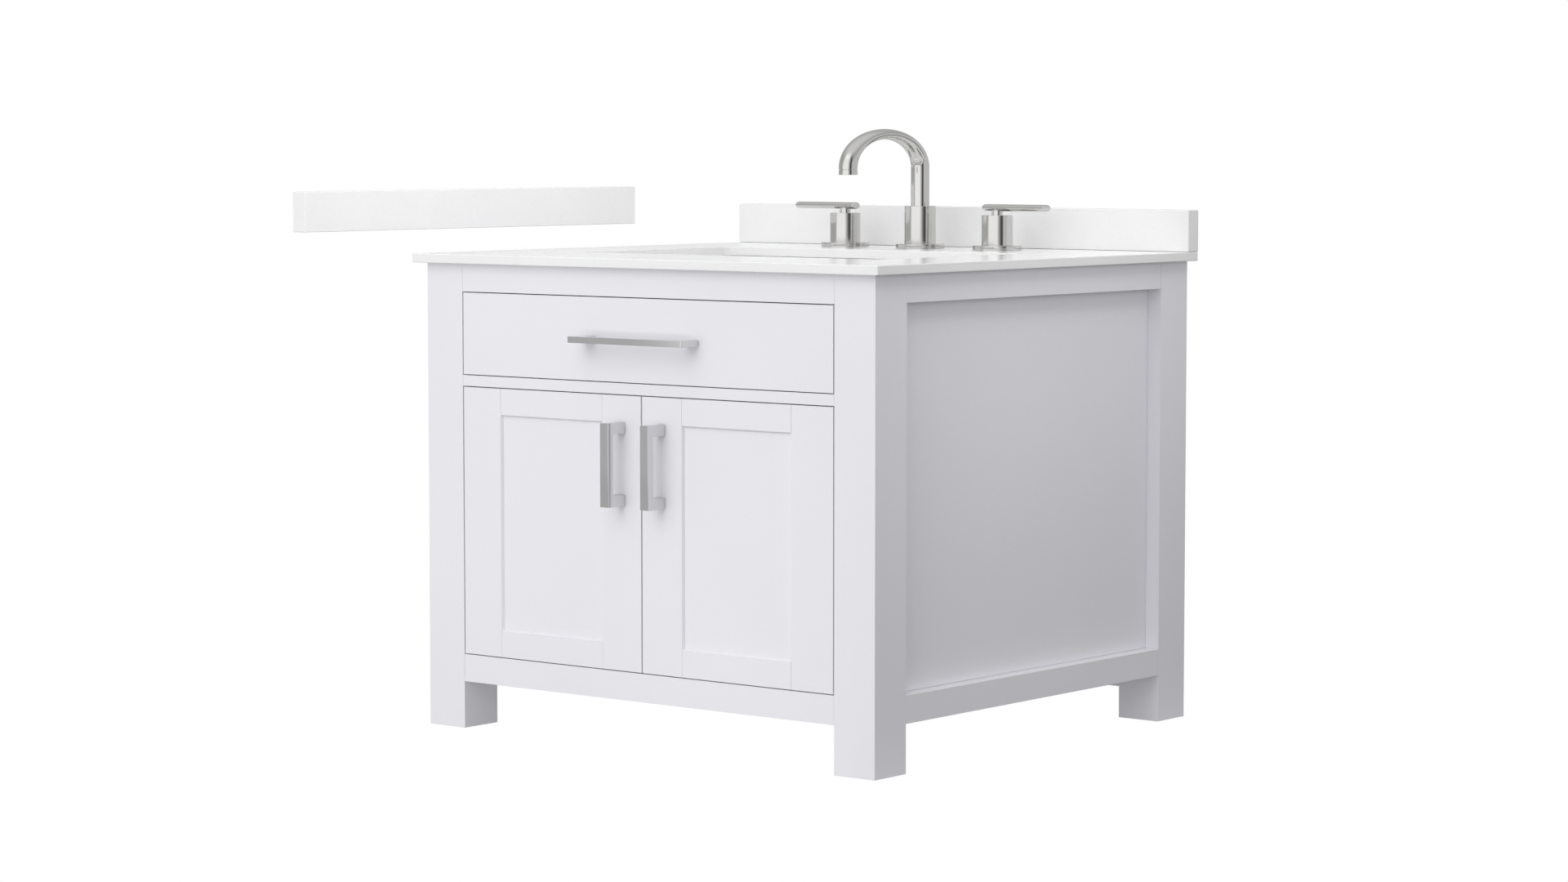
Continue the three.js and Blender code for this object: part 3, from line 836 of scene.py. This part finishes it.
def basin():
    """A glazed bowl with a lip under the stone, soft inner corners and a floor that falls to the drain."""
    low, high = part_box("basin")
    centre = (0.0, CUTOUT["y"])
    rim, under = high.z, low.z
    lip_x, lip_y = high.x, high.y - CUTOUT["y"]
    lip_base = rim - BASIN_LIP["thick"]
    wall = BASIN_WALL
    out_x, out_y = lip_x - BASIN_LIP["wide"], lip_y - BASIN_LIP["wide"]
    in_x, in_y = out_x - wall, out_y - wall
    drain_hole = 0.023

    def rect(half_x, half_y, radius, z):
        return at(z, rounded_rect(half_x, half_y, radius, centre))

    def edges(half_x, half_y, rows):
        return [rect(half_x + grow, half_y + grow, radius, z) for grow, radius, z in rows]

    def ring(radius, z):
        # The same number and order of points as a rounded rectangle's loop.
        points = []
        for _, _, quarter in CORNERS:
            for step in range(11):
                angle = (quarter + step / 10 * 0.98 + 0.01) * math.pi / 2
                points.append((centre[0] + radius * math.cos(angle), centre[1] + radius * math.sin(angle)))
        return at(z, points)

    def swept(start_x, start_y, radius, z, turn, concave):
        """Loops round a quarter turn between an upright wall and a level face."""
        loops = []
        for k in range(7):
            a = math.pi / 2 * k / 6
            inset = turn * (1 - math.cos(a)) if concave else turn * (1 - math.sin(a))
            rise = turn * (1 - math.sin(a)) if concave else turn * (1 - math.cos(a))
            loops.append(rect(start_x - inset, start_y - inset, max(radius - inset * 0.35, 0.01), z + rise))
        return loops

    floor_edge = under + wall + 0.006
    loops = [ring(drain_hole, under), ring(0.060, under)]
    loops += swept(out_x, out_y, 0.040, under, 0.022, concave=False)
    loops += edges(out_x, out_y, [(0.0, 0.040, lip_base - 0.002), (0.002, 0.042, lip_base)])
    loops += edges(lip_x, lip_y, [(-0.001, 0.054, lip_base), (0.0, 0.055, lip_base + 0.001),
                                  (0.0, 0.055, rim - 0.001), (-0.001, 0.054, rim)])
    loops += edges(in_x, in_y, [(0.003, 0.035, rim), (0.0009, 0.033, rim - 0.0009),
                                (0.0, 0.032, rim - 0.003)])
    loops += swept(in_x, in_y, 0.032, floor_edge, 0.030, concave=True)
    loops += [ring(0.085, under + wall + 0.0022), ring(0.037, under + wall + 0.0004),
              ring(drain_hole, under + wall)]
    bm = bmesh.new()
    rows = loft(bm, loops, ends=False)
    bridge(bm, rows[-1], rows[0])
    piece("basin_bowl", bm, "cabinet", "ceramic", replaces=["basin"])


def overflow():
    """The overflow's trim on the front wall of the basin, with three slats."""
    low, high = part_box("basin")
    wall = low.y + BASIN_LIP["wide"] + BASIN_WALL
    level = high.z - 0.034
    bm = bmesh.new()
    inner, outer = 0.0105, 0.0155
    trim = eased([(inner, 0.0, 0), (outer, 0.0, 0), (outer, 0.0016, 0.0008), (0.012, 0.0028, 0.0006),
                  (inner, 0.0012, 0)])
    turned(bm, trim, (0.0, wall, level), (0, 1, 0), sides=48, closed=True)
    for rise in (-0.0055, 0.0, 0.0055):
        half = math.sqrt(0.0108 ** 2 - rise ** 2)
        base, top = level + rise - 0.0013, level + rise + 0.0013
        slat = eased([(0.0002, base, 0), (0.0016, base, 0.0004), (0.0016, top, 0.0004), (0.0002, top, 0)])
        prism(bm, [(wall + u, v) for u, v in slat], -half, half, "x")
    piece("overflow_trim", bm, "cabinet", "bright_nickel")


def basin_clips():
    """Cranked clips that hold the basin's lip up to the stone."""
    low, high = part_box("basin")
    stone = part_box("countertop")[0].z
    under_lip = high.z - BASIN_LIP["thick"]
    y_mid = (low.y + high.y) / 2
    half, thick, screw_out = 0.008, 0.002, 0.016
    upper = [(-0.012, under_lip - 0.0003), (0.002, under_lip - 0.0003), (0.004, stone - 0.0004),
             (0.026, stone - 0.0004)]
    under = [(0.026, stone - 0.0024), (0.0058, stone - 0.0024), (0.0038, under_lip - 0.0003 - thick),
             (-0.012, under_lip - 0.0003 - thick)]
    spots = [(x, y_mid + shift, out, 0) for x, out in ((high.x, 1), (low.x, -1)) for shift in (-0.09, 0.09)]
    spots += [(shift, y, 0, out) for y, out in ((high.y, 1), (low.y, -1)) for shift in (-0.18, 0.18)]
    bm = bmesh.new()
    for x, y, out_x, out_y in spots:
        start, out, along, axis = (x, out_x, y, "y") if out_x else (y, out_y, x, "x")
        prism(bm, [(start + out * d, z) for d, z in upper + under], along - half, along + half, axis)
        screw(bm, (x + out_x * screw_out, y + out_y * screw_out, stone - 0.0024), (0, 0, -1), 0.0045)
    piece("basin_clips", bm, "cabinet", "zinc", ease=0.0003)


def drain():
    """Flange and threaded tail, with a washer and a nut under the basin, and the lifting stopper."""
    low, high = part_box("drain_body")
    x, y = plan_centre("drain_body")
    flange, seat = high.x - x, high.z - 0.003
    bore, pipe, body = 0.013, 0.016, 0.0227
    profile = [(bore, low.z), (pipe - 0.0007, low.z)] + threads(pipe, low.z + 0.001, low.z + 0.028)
    step = seat - 0.044
    profile += eased([(pipe, low.z + 0.031, 0), (pipe, step, 0.001), (body - 0.0007, step, 0)])
    profile += threads(body, seat - 0.043, seat - 0.010)
    profile += eased([
        (body, seat - 0.008, 0), (body, seat, 0), (flange, seat, 0), (flange, seat + 0.0012, 0.0007),
        (flange - 0.003, high.z, 0.0015), (0.026, high.z, 0.0012), (0.0225, seat - 0.001, 0.002),
        (bore, seat - 0.006, 0),
    ])
    bm = bmesh.new()
    turned(bm, profile, (x, y, 0.0), sides=72, closed=True)
    piece("drain_fitting", bm, "cabinet", "bright_nickel", replaces=["drain_body"])

    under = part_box("basin")[0].z
    bm = bmesh.new()
    inner, outer = body + 0.0003, 0.033
    washer_low, washer_high = under - 0.0035, under - 0.0003
    washer = eased([(inner, washer_low, 0), (outer, washer_low, 0.001), (outer, washer_high, 0),
                    (inner, washer_high, 0)])
    turned(bm, washer, (x, y, 0.0), sides=56, closed=True)
    nut(bm, (x, y), inner, 0.031, under - 0.0145, under - 0.0038, 8)
    piece("drain_nut", bm, "cabinet", "zinc", ease=0.0003)

    low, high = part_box("drain_stopper")
    cap = high.x - x
    base = high.z - 0.005
    profile = eased([
        (0.0, low.z, 0), (0.005, low.z, 0.0008), (0.005, base - 0.001, 0.001),
        (cap - 0.004, base + 0.0002, 0.0008), (cap, base + 0.0004, 0.0004),
        (cap, base + 0.002, 0.001), (cap - 0.006, high.z - 0.0009, 0.003),
        (0.004, high.z, 0.0015), (0.0025, high.z - 0.0008, 0.0006), (0.0, high.z - 0.0008, 0),
    ])
    bm = bmesh.new()
    turned(bm, profile, (x, y, 0.0), sides=72)
    piece("drain_stopper_cap", bm, "stopper", "bright_nickel", replaces=["drain_stopper"])


def nut(bm, centre, bore, across, low, high, corners=6):
    """A nut with flats, chamfered at both ends, round a bore."""
    def flats(radius, z, count=48):
        points = []
        for i in range(count):
            a = 2 * math.pi * i / count
            part = (a % (2 * math.pi / corners)) - math.pi / corners
            reach = radius / math.cos(part) * math.cos(math.pi / corners)
            points.append((centre[0] + reach * math.cos(a), centre[1] + reach * math.sin(a)))
        return at(z, points)

    chamfer = (high - low) * 0.15
    hole, face = circle(bore, centre, 48), circle(across * 0.84, centre, 48)
    loops = [at(low, hole), at(low, face), flats(across, low + chamfer),
             flats(across, high - chamfer), at(high, face), at(high, hole)]
    rows = loft(bm, loops, ends=False)
    bridge(bm, rows[-1], rows[0])


# ---- Faucet ----------------------------------------------------------------------------------

ROSE = {"radius": 0.0412, "thick": 0.0075}
SHANK = 0.014


def faucet_body(node, radius, bore, bore_depth):
    """Threaded shank, round flange and upright body with a bore in its top."""
    low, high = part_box(node)
    x, y = plan_centre(node)
    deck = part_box("countertop")[1].z
    rose = deck + SEAM
    profile = [(0.0, low.z + 0.006), (0.0085, low.z + 0.006), (0.0085, low.z), (SHANK - 0.0009, low.z)]
    profile += threads(SHANK, low.z + 0.001, rose - 0.004)
    profile += eased([
        (SHANK, rose, 0), (ROSE["radius"], rose, 0), (ROSE["radius"], rose + ROSE["thick"], 0.0011),
        (radius + 0.0002, rose + ROSE["thick"], 0.0008), (radius, high.z, 0.0007), (bore, high.z, 0.0005),
        (bore, high.z - bore_depth, 0), (0.0, high.z - bore_depth, 0),
    ])
    bm = bmesh.new()
    turned(bm, profile, (x, y, 0.0), sides=96)
    piece(node + "_turned", bm, "cabinet", "bright_nickel", replaces=[node])


def spout():
    low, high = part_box("spout")
    radius = (high.x - low.x) / 2
    base_y = high.y - radius
    reach = high.y - low.y - 2 * radius
    tube, bend = radius / PLAN_SPREAD, reach / PLAN_SPREAD / 2
    spring = high.z - tube - bend
    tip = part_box("countertop")[1].z + 0.125
    sides = 64

    def section(y, z, slope, r):
        """A ring of the tube, square to its path, widened in plan."""
        loop = []
        for i in range(sides):
            a = 2 * math.pi * i / sides
            across, outward = r * math.cos(a), r * math.sin(a)
            loop.append((across * PLAN_SPREAD,
                         base_y + (y + outward * math.cos(slope)) * PLAN_SPREAD,
                         z - outward * math.sin(slope)))
        return loop

    loops = [section(0.0, low.z, 0.0, tube), section(0.0, spring, 0.0, tube)]
    steps = 72
    for i in range(1, steps + 1):
        a = math.pi * i / steps
        loops.append(section(-bend * (1 - math.cos(a)), spring + bend * math.sin(a), -a, tube))
    seam = tip + 0.0085
    groove = 0.0006
    end = -2 * bend
    turn = -math.pi
    outlet = [(seam + 0.0007, 0.0), (seam + 0.0004, groove), (seam - 0.0004, groove),
              (seam - 0.0007, 0.0), (tip + 0.0005, 0.0), (tip, 0.0004), (tip, 0.0016),
              (tip + 0.0003, 0.0018), (tip + 0.003, 0.0018)]
    loops += [section(end, z, turn, tube - inset) for z, inset in outlet]
    bm = bmesh.new()
    loft(bm, loops)
    piece("spout_tube", bm, "spout_tube", "bright_nickel", replaces=["spout"])

    # The aerator: a ring and a grid of bars inside the outlet.
    bm = bmesh.new()
    inner = tube - 0.0020
    ring = [(0.0012, 0.0), (0.0006, 0.0004), (0.0006, 0.0012), (0.0016, 0.0013), (0.0028, 0.0)]
    rows = loft(bm, [section(end, tip + rise, turn, inner - inset) for rise, inset in ring], ends=False)
    bridge(bm, rows[-1], rows[0])
    centre_y = base_y + end * PLAN_SPREAD
    wide = (inner - 0.001) * PLAN_SPREAD
    thin = 0.0004
    for i in range(-3, 4):
        offset = i * wide / 3.7
        half = math.sqrt(max(wide ** 2 - offset ** 2, 0.0))
        block(bm, (offset - thin, centre_y - half, tip + 0.0013),
              (offset + thin, centre_y + half, tip + 0.0022))
        block(bm, (-half, centre_y + offset - thin, tip + 0.0015),
              (half, centre_y + offset + thin, tip + 0.0024))
    piece("spout_aerator", bm, "spout_tube", "zinc")


def levers():
    """A rod across the top of each handle, with rounded ends, on its stem."""
    for name in ("hot", "cold"):
        low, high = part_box(f"{name}_lever")
        x, y = plan_centre(f"{name}_handle_body")
        half_y = (high.y - low.y) / 2
        half_z = half_y / PLAN_SPREAD
        rod = high.z - half_z
        stem = 0.0094
        bm = bmesh.new()
        ends = [(0.0, 0.80), (0.0006, 0.90), (0.0016, 0.97), (0.0030, 1.0)]
        stations = [(low.x + d, k) for d, k in ends] + [(high.x - d, k) for d, k in reversed(ends)]
        angles = [2 * math.pi * i / 56 for i in range(56)]
        loft(bm, [[(place, y + half_y * share * math.cos(a), rod + half_z * share * math.sin(a))
                   for a in angles] for place, share in stations])
        profile = eased([(0.0, low.z, 0), (stem, low.z, 0), (stem, rod - half_z * 0.7, 0.0006),
                         (stem + 0.0012, rod - half_z * 0.25, 0), (0.0, rod - half_z * 0.2, 0)])
        turned(bm, profile, (x, y, 0.0), sides=64)
        angle = math.radians(-14)
        outward = Vector((math.cos(angle), math.sin(angle), 0.0))
        grub_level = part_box(f"{name}_handle_body")[1].z + 0.0031
        grub = [(0.0, 0.0002), (0.0008, 0.0002), (0.0010, 0.0006), (0.0016, 0.0005), (0.0018, -0.0005),
                (0.0, -0.0005)]
        turned(bm, grub, Vector((x, y, grub_level)) + outward * stem, outward, sides=20)
        piece(f"{name}_lever_rod", bm, f"{name}_tap", "bright_nickel", replaces=[f"{name}_lever"])


def under_deck_nuts():
    """Washers and nuts that clamp the faucet to the stone."""
    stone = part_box("countertop")[0].z
    inner, outer = SHANK + 0.0003, 0.026
    washer_low, washer_high = stone - 0.0024, stone - 0.0003
    washer = eased([(inner, washer_low, 0), (outer, washer_low, 0.0005), (outer, washer_high, 0.0005),
                    (inner, washer_high, 0)])
    for node in FAUCET_BODIES:
        x, y = plan_centre(node)
        bm = bmesh.new()
        turned(bm, washer, (x, y, 0.0), sides=48, closed=True)
        nut(bm, (x, y), inner, 0.0225, stone - 0.0125, stone - 0.0027)
        piece(node.replace("body", "nut"), bm, "cabinet", "zinc", ease=0.0003)


# ---- Carcass fixings -------------------------------------------------------------------------

def corner_blocks():
    """Triangular braces that tie the rails to the posts under the stone, screwed from below."""
    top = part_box("countertop")[0].z - 0.004
    thick, leg = 0.018, 0.062
    for row, rail, way in (("front", "front_top_rail", 1), ("rear", "back_top_rail", -1)):
        low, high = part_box(rail)
        face = high.y if way > 0 else low.y
        for side, s in SIDES:
            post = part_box(f"leg_{row}_{side}")
            inner = post[1].x if s < 0 else post[0].x
            bm = bmesh.new()
            x0, y0 = inner - s * 0.0004, face + way * 0.0004
            x1, y1 = x0 - s * leg, y0 + way * leg
            brace = eased([(x0, y0, 0), (x1, y0, 0.004), (x1, y0 + way * 0.012, 0.002),
                           (x0 - s * 0.012, y1, 0.002), (x0, y1, 0.004)])
            prism(bm, brace, top - thick, top, "z")
            piece(f"corner_block_{row}_{side}", bm, "cabinet", "birch_x", ease=0.0008)
            bm = bmesh.new()
            for dx, dy in ((0.012, 0.040), (0.040, 0.012), (0.020, 0.020)):
                screw(bm, (x0 - s * dx, y0 + way * dy, top - thick), (0, 0, -1), 0.0042)
            piece(f"corner_block_screws_{row}_{side}", bm, "cabinet", "zinc", ease=0.0002)


def runner_screws():
    """Screws that hold the inner runner members to the drawer."""
    for side, s in SIDES:
        low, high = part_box(f"inner_runner_{side}")
        web = (high.x if s < 0 else low.x) + s * 0.0012
        centre = (low.z + high.z) / 2
        bm = bmesh.new()
        for share in (0.08, 0.45, 0.92):
            screw(bm, (web, low.y + share * (high.y - low.y), centre), (s, 0, 0), 0.0038)
        piece(f"runner_screws_{side}", bm, "drawer", "zinc", ease=0.0002)


camera()
studio()
floor()
boards()
door_beads()
bored_stiles()
hinge_cups()
hinge_plates()
door_stops()
pulls()
drawer_fixings()
ball_cages()
countertop()
basin()
overflow()
basin_clips()
drain()
faucet_body("spout_body", 0.0266, 0.01595, 0.030)
for handle in ("hot_handle_body", "cold_handle_body"):
    faucet_body(handle, 0.026, 0.0097, 0.024)
spout()
levers()
under_deck_nuts()
corner_blocks()
runner_screws()
